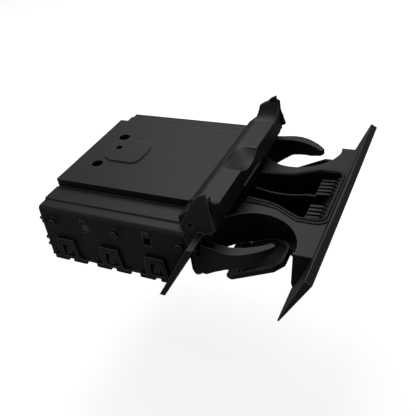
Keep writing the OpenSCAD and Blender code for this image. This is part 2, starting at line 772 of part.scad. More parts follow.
// Side view of the tub: an upright rear wall, a flat floor and a sloping front
module tray_side(wall) {
    along_x(-tray_half_w - 1, tray_half_w + 1) polygon([
        [tray_rear_y, deck_z + 5], [tray_rear_y, tray_floor_z + wall],
        [tray_slope_y + wall * 0.4, tray_floor_z + wall],
        [tray_front_y + tray_flange - tray_wall + wall * 1.1, deck_z - 1.5], [tray_front_y, deck_z - 1.5],
        [tray_front_y, deck_z + 5]
    ]);
}

module tray_insert() {
    color(darker) {
        difference() {
            union() {
                translate([0, 0, deck_z]) linear_extrude(height = tray_rim_h) tray_plan(0);
                intersection() {
                    translate([0, 0, tray_floor_z]) linear_extrude(height = tray_depth + 0.5)
                        tray_plan(tray_flange - tray_wall);
                    tray_side(0);
                }
            }
            intersection() {
                translate([0, 0, tray_floor_z]) linear_extrude(height = 60) tray_plan(tray_flange);
                tray_side(tray_wall);
            }
        }
        tray_slope_ribs();
        tray_divider();
        tray_knurls();
    }
}

module tray_slope_ribs() {
    pitch = (tray_half_w - 12) / tray_ribs;
    slope_run = tray_slope_y - tray_front_y - 5.6;
    for (s = [-1, 1], i = [0:tray_ribs - 1]) {
        x = s * (7 + pitch * (i + 0.5) * 0.92);
        along_x(x - pitch * 0.24, x + pitch * 0.24) polygon([
            [tray_slope_y, tray_floor_z + 1], [tray_slope_y, tray_floor_z + tray_wall + 4],
            [tray_slope_y - slope_run * 0.86, deck_z - 1.8], [tray_slope_y - slope_run * 0.98, deck_z - 2.6]
        ]);
    }
}

module tray_divider() {
    dip_r = 90;
    difference() {
        block([-0.9, tray_slope_y - 6, tray_floor_z + 1], [0.9, tray_rear_y - 10, deck_z - 1.6]);
        translate([0, (tray_slope_y + tray_rear_y) / 2 - 4, deck_z + dip_r - 5]) rotate([0, 90, 0])
            translate([0, 0, -5]) cylinder(r = dip_r, h = 10, $fn = 96);
    }
}

module tray_knurls() {
    for (s = [-1, 1], i = [0:9])
        translate([s * (tray_neck_half_w - 2.6), tray_rear_y - 12 - i * 2.6, deck_z + tray_rim_h - 0.2])
            rotate([0, 0, s * 6]) translate([-2, -0.6, 0]) cube([4, 1.2, 0.8]);
}

// Swing arms, drawn about their pivot: a hub, and a tall blade that bows outwards and hooks in at its tip
function arm_outer() = [
    [5.5, -2], [5.9, -7], [6.5, -13], [7.6, -20], [9.3, -27], [10.6, -33.5], [10.2, -41], [8, -48],
    [4.2, -55], [-0.8, -62], [-7, -68.6], [-10, -70.8]
];
function arm_inner() = [
    [-12.1, -69.6], [-12.4, -66.8], [-8, -61], [-4, -54.6], [-1, -47.6], [1, -40], [1.6, -32], [1.2, -24],
    [-0.2, -16], [-2.6, -8.6], [-3.4, -2]
];

module arm_blade() {
    intersection() {
        translate([0, 0, hub_bottom_z]) linear_extrude(height = arm_top_z - hub_bottom_z)
            polygon(concat(arm_outer(), arm_inner()));
        along_x(-20, 20) polygon([
            [2, hub_bottom_z], [2, hub_top_z], [-6.6, hub_top_z], [-10, arm_top_z], [-79, arm_top_z],
            [-79, arm_top_z - 3.6], [-70, arm_top_z - 5.4], [-55, arm_top_z - 13.6], [-33, hub_top_z - 4],
            [-23, hub_bottom_z + 8.4], [-11, hub_bottom_z]
        ]);
    }
}

module swing_arm() {
    color(dark) translate([arm_pivot_x, arm_pivot_y, 0]) difference() {
        union() {
            arm_blade();
            post(0, 0, hub_bottom_z, hub_top_z, arm_hub_r);
        }
        post(0, 0, hub_bottom_z - 1, hub_top_z + 1, arm_pin_r + pin_gap);
        arm_recess();
    }
}

// The blade is a shell behind its outer skin, open at the bottom
module arm_recess() {
    intersection() {
        translate([0, 0, hub_bottom_z - 1]) linear_extrude(height = arm_top_z - hub_bottom_z - 1.6)
            polygon([
                [3.6, -10], [4.6, -20], [6.4, -28], [7, -36], [5.6, -44], [2.6, -50.6],
                [1.4, -48], [3.4, -40], [4, -32], [3.2, -22], [1, -12]
            ]);
        along_x(-20, 20) polygon([
            [-4, hub_bottom_z - 2], [-10, arm_top_z - 4], [-64, arm_top_z - 4], [-64, hub_bottom_z - 2]
        ]);
    }
}

module left_arm() { mirror([1, 0, 0]) swing_arm(); }
module right_arm() { swing_arm(); }

module arm_pin() {
    color(steel) {
        post(arm_pivot_x, arm_pivot_y, hub_bottom_z - lug_gap - lug_t - 1, hub_top_z + lug_gap + lug_t, arm_pin_r);
        post(arm_pivot_x, arm_pivot_y, hub_top_z + lug_gap + lug_t, hub_top_z + lug_gap + lug_t + pin_head_t, 3.6);
    }
}

module left_arm_pin() { mirror([1, 0, 0]) arm_pin(); }
module right_arm_pin() { arm_pin(); }

// Torsion spring of an arm: a short coil under the lower lug
module arm_spring() {
    top = hub_bottom_z - lug_gap - lug_t - 0.1;
    color(steel) difference() {
        post(arm_pivot_x, arm_pivot_y, top - 3, top, 4);
        post(arm_pivot_x, arm_pivot_y, top - 4, top + 1, 2.9);
    }
}

module left_arm_spring() { mirror([1, 0, 0]) arm_spring(); }
module right_arm_spring() { arm_spring(); }

// Cup floors: rimmed plates, hinged at the rear on a pin below the wells
module cup_floor_plan(inset) {
    outer_x = cup_floor_half_w - inset;
    front_y = floor_hinge_y - cup_floor_len + inset;
    intersection() {
        translate([cup_x, cup_y]) circle(r = cup_r - cup_floor_gap - inset, $fn = 96);
        polygon([
            [0, floor_hinge_y - inset * 3.2], [outer_x, floor_hinge_y - inset * 3.2], [outer_x, front_y + 9],
            [outer_x - 6, front_y], [0, front_y]
        ]);
    }
}

// Modelled level about the hinge, then turned up to its rest slope
module cup_floor_level() {
    low_z = floor_hinge_z - 4.2;
    difference() {
        union() {
            translate([0, 0, low_z]) linear_extrude(height = cup_floor_rim) cup_floor_plan(0);
            for (span = [[inner_lug_x + floor_lug_w + slide_gap, outer_lug_x - slide_gap],
                         [outer_lug_x + floor_lug_w + slide_gap, cup_floor_half_w]])
                bar_x(span[0], span[1], floor_hinge_y, floor_hinge_z, floor_knuckle_r);
        }
        translate([0, 0, low_z + cup_floor_t]) linear_extrude(height = 20) cup_floor_plan(2);
        bar_x(neck_half_w - 10, cup_floor_half_w + 7, floor_hinge_y, floor_hinge_z, floor_pin_r + pin_gap);
        for (x = [inner_lug_x, outer_lug_x])
            bar_x(x - slide_gap - (x == inner_lug_x ? 6 : 0), x + floor_lug_w + slide_gap, floor_hinge_y, floor_hinge_z, 4.9);
    }
}

module cup_floor() {
    color(dark) translate([0, floor_hinge_y, floor_hinge_z]) rotate([-cup_floor_slope, 0, 0])
        translate([0, -floor_hinge_y, -floor_hinge_z]) cup_floor_level();
}

module left_cup_floor() { mirror([1, 0, 0]) cup_floor(); }
module right_cup_floor() { cup_floor(); }

module floor_pin() {
    color(steel) bar_x(neck_half_w - drawer_wall, cup_floor_half_w - 1, floor_hinge_y, floor_hinge_z, floor_pin_r);
}

module left_floor_pin() { mirror([1, 0, 0]) floor_pin(); }
module right_floor_pin() { floor_pin(); }

module floor_spring() {
    x = inner_lug_x - 2.9;
    color(steel) difference() {
        bar_x(x, x + 2.7, floor_hinge_y, floor_hinge_z, 3);
        bar_x(x - 1, x + 4, floor_hinge_y, floor_hinge_z, 2.1);
    }
}

module left_floor_spring() { mirror([1, 0, 0]) floor_spring(); }
module right_floor_spring() { floor_spring(); }

// Rotary damper on the bottom cover, its pinion in mesh with a rack on the drawer
module damper_body() {
    color(darker) difference() {
        union() {
            post(pinion_x, pinion_y, floor_top_z, pinion_bottom_z - 0.4, damper_screw_x - damper_head_r - 0.1);
            block([pinion_x - damper_screw_x - 3, pinion_y - 3, floor_top_z],
                  [pinion_x + damper_screw_x + 3, pinion_y + 3, floor_top_z + 2]);
            post(pinion_x, pinion_y, floor_top_z, pinion_bottom_z + pinion_t + 0.6, 1.5);
        }
        for (s = [-1, 1])
            post(pinion_x + s * damper_screw_x, pinion_y, floor_top_z - 1, floor_top_z + 5, damper_screw_r);
    }
}

function tooth(r_root, r_tip, a, half_root, half_tip) = [
    [r_root * cos(a - half_root), r_root * sin(a - half_root)],
    [r_tip * cos(a - half_tip), r_tip * sin(a - half_tip)],
    [r_tip * cos(a + half_tip), r_tip * sin(a + half_tip)],
    [r_root * cos(a + half_root), r_root * sin(a + half_root)]
];

module damper_pinion() {
    step = 360 / pinion_teeth;
    outline = [for (i = [0:pinion_teeth - 1])
        each tooth(pitch_r - 1.25 * tooth_module, pitch_r + 0.9 * tooth_module, i * step, step * 0.31, step * 0.11)];
    color(pale_plastic) translate([pinion_x, pinion_y, pinion_bottom_z]) difference() {
        linear_extrude(height = pinion_t) polygon(outline);
        translate([0, 0, -1]) cylinder(r = 1.5 + pin_gap, h = pinion_t + 2);
    }
}

module damper_screws() {
    color(steel) for (s = [-1, 1]) {
        post(pinion_x + s * damper_screw_x, pinion_y, floor_bottom_z, floor_top_z + 2, damper_screw_r);
        post(pinion_x + s * damper_screw_x, pinion_y, floor_top_z + 2, floor_top_z + 3.2, damper_head_r);
    }
}

// Rack teeth point towards the pinion, with one gap facing its tooth
module damper_rack() {
    pitch = tooth_module * PI;
    back_x = neck_half_w - drawer_wall;
    root_x = rack_pitch_x + 1.25 * tooth_module;
    tip_x = rack_pitch_x - 0.9 * tooth_module;
    color(pale_plastic) translate([0, 0, pinion_bottom_z + 1]) linear_extrude(height = pinion_t - 1.4) {
        polygon(concat(
            [[back_x, rack_rear_y], [root_x, rack_rear_y]],
            [for (i = [0:rack_tooth_count - 1]) let (y = pinion_y + pitch * (1.5 - i)) each [
                [root_x, y + pitch * 0.38], [tip_x, y + pitch * 0.12], [tip_x, y - pitch * 0.12],
                [root_x, y - pitch * 0.38]
            ]],
            [
                [root_x, pinion_y + pitch * (1.5 - rack_tooth_count)],
                [back_x, pinion_y + pitch * (1.5 - rack_tooth_count)]
            ]
        ));
    }
}

// Push latch on the bottom cover
module latch_body() {
    color(darker) difference() {
        block([-latch_half_w, latch_front_y, floor_top_z], [latch_half_w, latch_front_y + latch_len, latch_top_z]);
        block([-latch_half_w + 3, latch_front_y - 1, floor_top_z + 1.6],
              [latch_half_w - 3, latch_front_y + latch_len - 3, latch_top_z - 1.6]);
    }
}

module latch_plunger() {
    half = latch_half_w - 3 - slide_gap;
    jaw = striker_r + 0.7;
    low = floor_top_z + 1.6 + slide_gap;
    high = latch_top_z - 1.6 - slide_gap;
    color(pale_plastic) difference() {
        block([-half, latch_seat_y - 4, low], [half, latch_front_y + 10, high]);
        block([-jaw, latch_seat_y - 9, low - 1], [jaw, latch_seat_y, high + 1]);
        post(0, latch_seat_y, low - 1, high + 1, jaw);
    }
}

module latch_spring() {
    y_front = latch_front_y + 10.3;
    y_rear = latch_front_y + latch_len - 3.3;
    z = (floor_top_z + latch_top_z) / 2;
    color(steel) difference() {
        translate([0, y_front, z]) rotate([-90, 0, 0]) cylinder(r = 1.9, h = y_rear - y_front);
        translate([0, y_front - 1, z]) rotate([-90, 0, 0]) cylinder(r = 1.3, h = y_rear - y_front + 2);
    }
}

module latch_striker() {
    color(steel) {
        post(0, striker_y, striker_top_z - 2, striker_top_z + 2, striker_r - 0.6);
        post(0, striker_y, striker_bottom_z, striker_top_z - 2, striker_r);
    }
}

// Constant-force drive spring: a roll carried by the drawer, its band hooked to the bottom cover
module spring_roll() {
    color(steel) difference() {
        bar_x(spring_x - spring_w / 2, spring_x + spring_w / 2, spring_y, spring_z, spring_roll_r - 0.1);
        bar_x(spring_x - 20, spring_x + 20, spring_y, spring_z, spring_axle_r + pin_gap);
    }
}

module spring_axle() {
    color(steel) bar_x(spring_x - spring_w / 2 - 4, spring_x + spring_w / 2 + 4, spring_y, spring_z, spring_axle_r);
}

module spring_band() {
    color(steel) block([spring_x - spring_w / 2, anchor_y, band_z - band_t / 2],
                       [spring_x + spring_w / 2, spring_y, band_z + band_t / 2]);
}

module spring_anchor() {
    color(steel) block(
        [spring_x - 6, anchor_y - 2.4, band_z - 3],
        [spring_x + 6, anchor_y + 2.4, band_z - band_t / 2 - 0.05]
    );
}

housing_cover();
housing_floor();
mounting_bezel();
bezel_screws();
guide_rails();
drawer_body();
glide_shoes();
fascia_panel();
fascia_screws();
tray_insert();
left_arm();
right_arm();
left_arm_pin();
right_arm_pin();
left_arm_spring();
right_arm_spring();
left_cup_floor();
right_cup_floor();
left_floor_pin();
right_floor_pin();
left_floor_spring();
right_floor_spring();
damper_body();
damper_pinion();
damper_screws();
damper_rack();
latch_body();
latch_plunger();
latch_spring();
latch_striker();
spring_roll();
spring_axle();
spring_band();
spring_anchor();
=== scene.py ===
"""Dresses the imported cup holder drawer: moulded black plastic, steel pins, wound springs, soft light."""

import bpy
import numpy as np
from mathutils import Matrix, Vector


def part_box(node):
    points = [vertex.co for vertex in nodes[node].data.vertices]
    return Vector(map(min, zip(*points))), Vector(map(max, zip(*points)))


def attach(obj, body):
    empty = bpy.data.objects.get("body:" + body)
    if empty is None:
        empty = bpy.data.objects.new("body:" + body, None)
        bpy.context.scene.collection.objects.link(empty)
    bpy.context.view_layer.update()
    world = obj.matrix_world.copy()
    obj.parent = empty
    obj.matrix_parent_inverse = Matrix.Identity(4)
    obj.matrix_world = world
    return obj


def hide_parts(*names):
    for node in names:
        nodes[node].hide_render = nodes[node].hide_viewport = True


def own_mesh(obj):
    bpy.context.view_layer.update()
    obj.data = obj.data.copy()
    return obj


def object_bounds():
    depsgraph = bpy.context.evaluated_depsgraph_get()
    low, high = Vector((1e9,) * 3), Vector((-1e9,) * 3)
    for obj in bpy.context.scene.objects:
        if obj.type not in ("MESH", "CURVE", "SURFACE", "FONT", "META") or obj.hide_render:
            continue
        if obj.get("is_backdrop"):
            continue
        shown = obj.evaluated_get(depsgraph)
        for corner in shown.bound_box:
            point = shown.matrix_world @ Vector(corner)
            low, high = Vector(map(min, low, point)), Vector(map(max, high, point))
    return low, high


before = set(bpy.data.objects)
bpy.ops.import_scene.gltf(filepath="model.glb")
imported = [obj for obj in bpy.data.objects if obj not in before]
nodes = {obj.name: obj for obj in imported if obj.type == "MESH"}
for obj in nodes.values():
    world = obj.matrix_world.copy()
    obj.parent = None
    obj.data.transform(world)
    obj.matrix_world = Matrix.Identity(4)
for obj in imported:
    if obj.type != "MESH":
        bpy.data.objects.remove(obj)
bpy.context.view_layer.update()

# Places on the part, in metres, as the CAD solids have them
FIXING_X = 0.027
FIXING_SLEEVE_R = 0.0063
SQUARE_HOLE_AT = (0.0037, -0.0079)
SQUARE_SLEEVE_HALF = 0.0036
SLEEVE_TOP_Z = -0.0012
SLEEVE_FOOT_Z = -0.0125
RAIL_TOP_Z = 0.0105
RAIL_FRONT_Y = -0.1568
RAIL_BACK_Y = -0.1358
RAIL_HALF_W = 0.0855
SADDLE_HALF_W = 0.0205
SADDLE_DEPTH = 0.0075
SADDLE_KEEL_Y = -0.1265
SADDLE_KEEL_Z = 0.003
TRAY_HALF_W = 0.0428
TRAY_NECK_W = 0.028
TRAY_CORNER_R = 0.011
TRAY_FRONT_Y = -0.2416
TRAY_SLOPE_Y = -0.214
TRAY_SHOULDER_Y = -0.2034
TRAY_FLARE_Y = -0.191
TRAY_LIP_END_Y = -0.184
TRAY_LIP_START_Y = -0.158
TRAY_RIM_Z = -0.0188
TRAY_RIBS = 5
TRAY_BEAD_INSET = 0.0036
FIN_OUTLINE = ((-0.2352, -0.0238), (-0.2172, -0.0258), (-0.2172, -0.0398), (-0.2352, -0.0222))

# An ear's sweep, at stations across the part: each pair is x and a height, a y or a z
EAR_START_X = 0.069
EAR_REACH = 0.0207
EAR_SWEEP_R = 0.0212
EAR_RIM_RISE = ((0.069, 0.0002), (0.078, 0.0014), (0.085, 0.0022), (0.088, 0.0022), (0.0897, 0.001))
EAR_REAR_Y = ((0.069, -0.1358), (0.086, -0.1368), (0.0875, -0.1405), (0.0888, -0.146), (0.0897, -0.1515))
EAR_FRONT_Y = ((0.069, -0.1574), (0.088, -0.1574), (0.0897, -0.1562))
EAR_FOOT_Z = ((0.069, 0.007), (0.0855, 0.007), (0.0865, -0.0036), (0.0897, -0.0036))
# Where the painted shadow strip of each ear's gap lies
EAR_GAP_SHADOW_OUTLINE = ((0.0868, 0.0268), (0.0880, 0.0268), (0.0919, 0.0010), (0.0905, 0.0010))
EAR_GAP_SHADOW_FRONT_Y = -0.15765
EAR_GAP_SHADOW_REAR_Y = -0.1565

# Wire and strip of the springs
ARM_SPRING = {"axis": "z", "wire": 0.0009, "turns": 3.0}
FLOOR_SPRING = {"axis": "x", "wire": 0.0007, "turns": 3.5}
LATCH_SPRING = {"axis": "y", "wire": 0.0005, "turns": 11}
ROLL_STRIP_T = 0.00028
ROLL_INNER_R = 0.0026
ROLL_TURNS = 11

# Colours, as linear red, green and blue
BLACK = (0.026, 0.0265, 0.028)
FASCIA_BLACK = (0.026, 0.0265, 0.0285)
# A darker copy of the black, for parts that sit in wells and hollows: painted shade
WELL_SHADE_BLACK = (0.016, 0.016, 0.017)
# Near-black for the strips laid over the ears' gaps: painted shadow
GAP_SHADOW_BLACK = (0.002, 0.002, 0.002)
# Lighter colour mixed onto rounded edges: a painted highlight
EDGE_HIGHLIGHT_COLOUR = (0.44, 0.45, 0.47)
PALE = (0.72, 0.71, 0.66)
STEEL = (0.66, 0.66, 0.67)

# How far edges are rounded, which also sets the width of the painted edge highlight, and how far off a wall
# the painted shade of a hollow still reaches
EDGE_ROUND_R = 0.0011
PAINTED_SHADE_REACH = 0.08

# Edges that turn by more than this, in radians, stay sharp
CREASE = 0.7
SADDLE_CREASE = 0.6

# The floor's depth under the part and its radius, and how strongly the backdrop lights the part
FLOOR_DROP = 0.14
FLOOR_RADIUS = 4.0
SKY_STRENGTH = 0.13
# Each lamp: its place, what it faces, its width and height, and its power in watts
LAMPS = {
    "key": ((0.75, 0.2, 1.1), (0, -0.1, 0), (0.9, 0.9), 6.6),
    "front": ((-0.5, -1.3, 0.6), (0, -0.1, 0), (0.8, 0.4), 0.5),
    "near_side": ((-1.3, 0.35, 0.4), (0, -0.05, -0.02), (0.9, 0.6), 0.9),
}


# Camera

def place_camera():
    """A pinhole camera, turned so that it looks along forward with right and down across its picture."""
    right = (0.40821815, -0.90412712, -0.12632553)
    down = (-0.58203006, -0.15110443, -0.79897137)
    forward = (0.70333764, 0.39969476, -0.58788641)
    place = (-0.4092, -0.3373, 0.2849)
    data = bpy.data.cameras.new("photo_camera")
    data.sensor_width = 36.0
    data.lens = 48.37
    data.clip_start = 0.01
    data.clip_end = 20.0
    camera = bpy.data.objects.new("photo_camera", data)
    bpy.context.scene.collection.objects.link(camera)
    columns = [right, [-v for v in down], [-v for v in forward]]
    turn = Matrix([[columns[c][r] for c in range(3)] for r in range(3)])
    camera.matrix_world = Matrix.Translation(place) @ turn.to_4x4()
    bpy.context.scene.camera = camera


# Meshes from numpy grids

def surface(name, grid, wrap_u, wrap_v, caps=False):
    """A mesh through a grid of points, joined round in u or v where the shape closes on itself.

    caps adds one flat face over each open end of v."""
    count_v, count_u = grid.shape[:2]
    index = np.arange(count_v * count_u).reshape(count_v, count_u)
    rows = np.arange(count_v if wrap_v else count_v - 1)
    cols = np.arange(count_u if wrap_u else count_u - 1)
    r, c = np.meshgrid(rows, cols, indexing="ij")
    r2, c2 = (r + 1) % count_v, (c + 1) % count_u
    quads = np.stack([index[r, c], index[r, c2], index[r2, c2], index[r2, c]], -1).reshape(-1, 4)
    faces = quads.tolist()
    if caps:
        faces += [index[0][::-1].tolist(), index[-1].tolist()]
    mesh = bpy.data.meshes.new(name)
    mesh.from_pydata(grid.reshape(-1, 3).tolist(), [], faces)
    mesh.polygons.foreach_set("use_smooth", np.ones(len(faces), dtype=bool))
    mesh.validate()
    thing = bpy.data.objects.new(name, mesh)
    bpy.context.scene.collection.objects.link(thing)
    return thing


def flatten_shading(thing):
    thing.data.polygons.foreach_set("use_smooth", np.zeros(len(thing.data.polygons), dtype=bool))


def face_outwards(thing):
    """Turns a closed mesh inside out when its signed volume, sum of a . (b x c) / 6, is negative."""
    mesh = thing.data
    mesh.calc_loop_triangles()
    points = np.zeros(len(mesh.vertices) * 3)
    mesh.vertices.foreach_get("co", points)
    corners = np.zeros(len(mesh.loop_triangles) * 3, dtype=int)
    mesh.loop_triangles.foreach_get("vertices", corners)
    a, b, c = points.reshape(-1, 3)[corners.reshape(-1, 3)].transpose(1, 0, 2)
    if (a * np.cross(b, c)).sum() < 0:
        mesh.flip_normals()


def along_path(name, path, profile, side_hint):
    """A closed profile carried along a path: at each point the profile's two axes are the side
    hint made square to the tangent, and the cross product of the two."""
    tangent = np.gradient(path, axis=0)
    tangent /= np.linalg.norm(tangent, axis=1, keepdims=True)
    hint = np.broadcast_to(np.asarray(side_hint, float), path.shape)
    side = hint - (hint * tangent).sum(1, keepdims=True) * tangent
    side /= np.linalg.norm(side, axis=1, keepdims=True)
    rise = np.cross(tangent, side)
    grid = path[:, None] + profile[None, :, :1] * side[:, None] + profile[None, :, 1:] * rise[:, None]
    return surface(name, grid, True, False, caps=True)


def prism(name, outline, axis, low, high):
    """A flat outline carried straight along one axis, with closed ends."""
    outline = np.asarray(outline, float)
    k = "xyz".index(axis)
    others = [i for i in range(3) if i != k]
    grid = np.zeros((2, len(outline), 3))
    grid[:, :, others] = outline
    grid[0, :, k] = low
    grid[1, :, k] = high
    thing = surface(name, grid, True, False, caps=True)
    face_outwards(thing)
    flatten_shading(thing)
    return thing


def ring_points(count):
    """Points evenly round the unit circle: (cos a, sin a)."""
    angle = np.linspace(0, 2 * np.pi, count, endpoint=False)
    return np.stack([np.cos(angle), np.sin(angle)], 1)


def smoothed(points, step):
    """A polyline resampled at an even step, with its corners rounded by a moving average."""
    points = np.asarray(points, float)
    run = np.concatenate([[0], np.cumsum(np.linalg.norm(np.diff(points, axis=0), axis=1))])
    at = np.linspace(0, run[-1], int(run[-1] / step) + 1)
    path = np.stack([np.interp(at, run, points[:, k]) for k in range(3)], 1)
    window = 7
    half = window // 2
    padded = np.concatenate([np.repeat(path[:1], half, 0), path, np.repeat(path[-1:], half, 0)])
    kernel = np.ones(window) / window
    return np.stack([np.convolve(padded[:, k], kernel, "valid") for k in range(3)], 1)


def at_stations(x, stations):
    """Straight-line values at x between pairs of x and a value."""
    known_x, value = zip(*stations)
    return np.interp(x, known_x, value)


# Materials

def material(name):
    made = bpy.data.materials.new(name)
    made.use_nodes = True
    tree = made.node_tree
    tree.nodes.clear()
    output = tree.nodes.new("ShaderNodeOutputMaterial")
    shader = tree.nodes.new("ShaderNodeBsdfPrincipled")
    tree.links.new(shader.outputs["BSDF"], output.inputs["Surface"])
    return made, tree, shader


def noise(tree, place, scale, detail):
    texture = tree.nodes.new("ShaderNodeTexNoise")
    texture.inputs["Scale"].default_value = scale
    texture.inputs["Detail"].default_value = detail
    tree.links.new(place, texture.inputs["Vector"])
    return texture.outputs["Fac"]


def spread(tree, value, low, high, start=0.3, end=0.7):
    """Maps a value from the range start to end onto the range low to high."""
    node = tree.nodes.new("ShaderNodeMapRange")
    node.inputs["From Min"].default_value = start
    node.inputs["From Max"].default_value = end
    node.inputs["To Min"].default_value = low
    node.inputs["To Max"].default_value = high
    tree.links.new(value, node.inputs["Value"])
    return node.outputs["Result"]


def scaled(colour, share):
    return tuple(v * share for v in colour)


def blend(tree, share, first, second):
    """A mix of two ends, each of them a colour or a socket: all first at share 0, all second at 1."""
    node = tree.nodes.new("ShaderNodeMix")
    node.data_type = "RGBA"
    tree.links.new(share, node.inputs["Factor"])
    for socket, end in (("A", first), ("B", second)):
        if isinstance(end, tuple):
            node.inputs[socket].default_value = (*end, 1)
        else:
            tree.links.new(end, node.inputs[socket])
    return node.outputs["Result"]


def relief(tree, height, strength, distance):
    node = tree.nodes.new("ShaderNodeBump")
    node.inputs["Strength"].default_value = strength
    node.inputs["Distance"].default_value = distance
    tree.links.new(height, node.inputs["Height"])
    return node


def moulded_plastic(name, colour, roughness, grain, painted_edge_highlight, specular):
    """Moulded plastic: fine spark-eroded grain as bump, slow colour drift, painted shade that darkens
    hollows, and rounded edges lightened by a painted highlight."""
    made, tree, shader = material(name)
    place = tree.nodes.new("ShaderNodeTexCoord").outputs["Object"]
    drift = noise(tree, place, scale=28, detail=3)
    fine = noise(tree, place, scale=2600, detail=4)
    coarse = noise(tree, place, scale=700, detail=2)

    rounded = tree.nodes.new("ShaderNodeBevel")
    rounded.samples = 6
    rounded.inputs["Radius"].default_value = EDGE_ROUND_R
    geometry = tree.nodes.new("ShaderNodeNewGeometry")
    likeness = tree.nodes.new("ShaderNodeVectorMath")
    likeness.operation = "DOT_PRODUCT"
    tree.links.new(rounded.outputs["Normal"], likeness.inputs[0])
    tree.links.new(geometry.outputs["Normal"], likeness.inputs[1])
    # Painted highlight: where the rounded normal turns away from the face's own normal, the edge is
    # lightened
    edge_highlight_share = spread(tree, likeness.outputs["Value"], low=painted_edge_highlight, high=0.0, start=0.75, end=0.98)

    # Painted shade: ambient occlusion darkens the base colour towards a tenth of itself in hollows, corners
    # and under things
    hollow = tree.nodes.new("ShaderNodeAmbientOcclusion")
    hollow.samples = 8
    hollow.inputs["Distance"].default_value = PAINTED_SHADE_REACH
    open_air = spread(tree, hollow.outputs["AO"], low=0, high=1, start=0.3, end=0.95)

    base = blend(tree, spread(tree, drift, 0, 1), scaled(colour, 0.93), scaled(colour, 1.07))
    shaded = blend(tree, open_air, scaled(colour, 0.1), base)
    # Painted highlight: rounded edges take the lighter edge colour
    highlighted = blend(tree, edge_highlight_share, shaded, EDGE_HIGHLIGHT_COLOUR)
    tree.links.new(highlighted, shader.inputs["Base Color"])

    shine = spread(tree, coarse, roughness - 0.04, roughness + 0.05)
    tree.links.new(shine, shader.inputs["Roughness"])
    shader.inputs["Specular IOR Level"].default_value = specular

    height = tree.nodes.new("ShaderNodeMath")
    height.operation = "ADD"
    tree.links.new(fine, height.inputs[0])
    tree.links.new(coarse, height.inputs[1])
    bump = relief(tree, height.outputs["Value"], strength=grain, distance=0.00006)
    tree.links.new(rounded.outputs["Normal"], bump.inputs["Normal"])
    tree.links.new(bump.outputs["Normal"], shader.inputs["Normal"])
    return made


def spring_steel(name, colour, roughness):
    """Drawn steel: fine scratches that change its roughness, and a slight tone drift."""
    made, tree, shader = material(name)
    place = tree.nodes.new("ShaderNodeTexCoord").outputs["Object"]
    scratch = noise(tree, place, scale=900, detail=6)
    drift = noise(tree, place, scale=60, detail=2)
    shader.inputs["Metallic"].default_value = 1.0
    base = blend(tree, spread(tree, drift, 0, 1), scaled(colour, 0.88), colour)
    tree.links.new(base, shader.inputs["Base Color"])
    shine = spread(tree, scratch, roughness - 0.06, roughness + 0.1)
    tree.links.new(shine, shader.inputs["Roughness"])
    bump = relief(tree, scratch, strength=0.15, distance=0.00004)
    tree.links.new(bump.outputs["Normal"], shader.inputs["Normal"])
    return made


def dress(names, made):
    """Gives CAD nodes this material on every slot."""
    for name in names:
        data = nodes[name].data
        if not data.materials:
            data.materials.append(made)
        for i in range(len(data.materials)):
            data.materials[i] = made
            nodes[name].material_slots[i].material = made


# Springs wound as real ones, in place of the CAD sleeves

def middle_and_size(node):
    low, high = (np.asarray(v, float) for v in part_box(node))
    return (low + high) / 2, high - low


def coil_path(centre, axis, radius, length, turns):
    """A helix about the x, y or z axis: radius times (cos t, sin t), rising evenly from end to end."""
    points_per_turn = 28
    t = np.linspace(0, 2 * np.pi * turns, int(turns * points_per_turn) + 1)
    k = "xyz".index(axis)
    across, up = [(1, 2), (2, 0), (0, 1)][k]
    path = np.zeros((len(t), 3))
    path[:, across] = radius * np.cos(t)
    path[:, up] = radius * np.sin(t)
    path[:, k] = np.linspace(-length / 2, length / 2, len(t))
    return path + np.asarray(centre)


def wound_spring(node, body, made, axis, wire, turns):
    """A helix of round wire that fills the sleeve's own length and outer diameter."""
    centre, size = middle_and_size(node)
    k = "xyz".index(axis)
    length = size[k] - wire
    radius = min(size[i] for i in range(3) if i != k) / 2 - wire / 2
    path = coil_path(centre, axis, radius, length, turns)
    hint = np.zeros(3)
    hint[k] = 1
    spring = along_path(node + "_wire", path, ring_points(10) * (wire / 2), hint)
    spring.data.materials.append(made)
    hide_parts(node)
    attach(spring, body)
    return spring


def spiral_roll(node, made):
    """A strip rolled on a spiral whose radius grows evenly with its angle, as a clock spring lies."""
    centre, size = middle_and_size(node)
    half_w, half_t = size[0] / 2, ROLL_STRIP_T / 2
    outer_r = min(size[1], size[2]) / 2
    points_per_turn = 40
    t = np.linspace(0, 2 * np.pi * ROLL_TURNS, ROLL_TURNS * points_per_turn + 1)
    radius = np.linspace(ROLL_INNER_R + half_t, outer_r - half_t, len(t))
    y = centre[1] + radius * np.cos(t)
    z = centre[2] + radius * np.sin(t)
    path = np.stack([np.full(len(t), centre[0]), y, z], 1)
    profile = np.array([[-half_w, -half_t], [half_w, -half_t], [half_w, half_t], [-half_w, half_t]])
    roll = along_path("spring_roll_strip", path, profile, (1, 0, 0))
    flatten_shading(roll)
    roll.data.materials.append(made)
    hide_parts(node)
    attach(roll, "spring_roll")


# Moulded details that catch the light

def add_piece(thing, body, made):
    thing.data.materials.append(made)
    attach(thing, body)


def add_solid(name, grid, body, made, ring=False, crease=None):
    """A closed piece through a grid, capped at both ends, or joined end to end as a ring."""
    thing = surface(name, grid, True, ring, caps=not ring)
    face_outwards(thing)
    if crease:
        thing.data.set_sharp_from_angle(angle=crease)
    add_piece(thing, body, made)


def add_bead(name, path, radius, body, made):
    """A round bead whose middle follows a path."""
    add_piece(along_path(name, path, ring_points(12) * radius, (0, 0, 1)), body, made)


